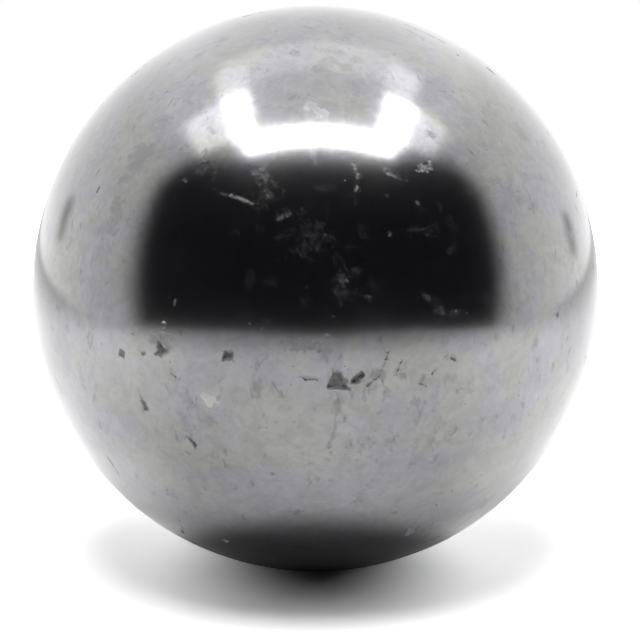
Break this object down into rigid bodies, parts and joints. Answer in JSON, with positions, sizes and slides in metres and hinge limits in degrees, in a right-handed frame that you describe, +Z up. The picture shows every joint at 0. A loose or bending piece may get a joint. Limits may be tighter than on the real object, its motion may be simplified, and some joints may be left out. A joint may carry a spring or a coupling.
{
  "type": "shungite sphere",
  "caption": "Solid polished ball of black carbon-rich stone for a desk or bench, mirror bright, with small natural pits, cracks and pale grains.",
  "frame": {"origin": "the ball's lowest point, where it touches what it lies on or in", "axes": "+Z straight up through the ball's centre; the face with the large chips, the front, looks along -Y; +X to the right of someone facing the front"},
  "size_m": [0.05, 0.05, 0.05],
  "materials": {
    "polished_shungite": "polished"
  },
  "bodies": {
    "root": {"shungite_sphere": "polished_shungite"}
  },
  "joints": []
}
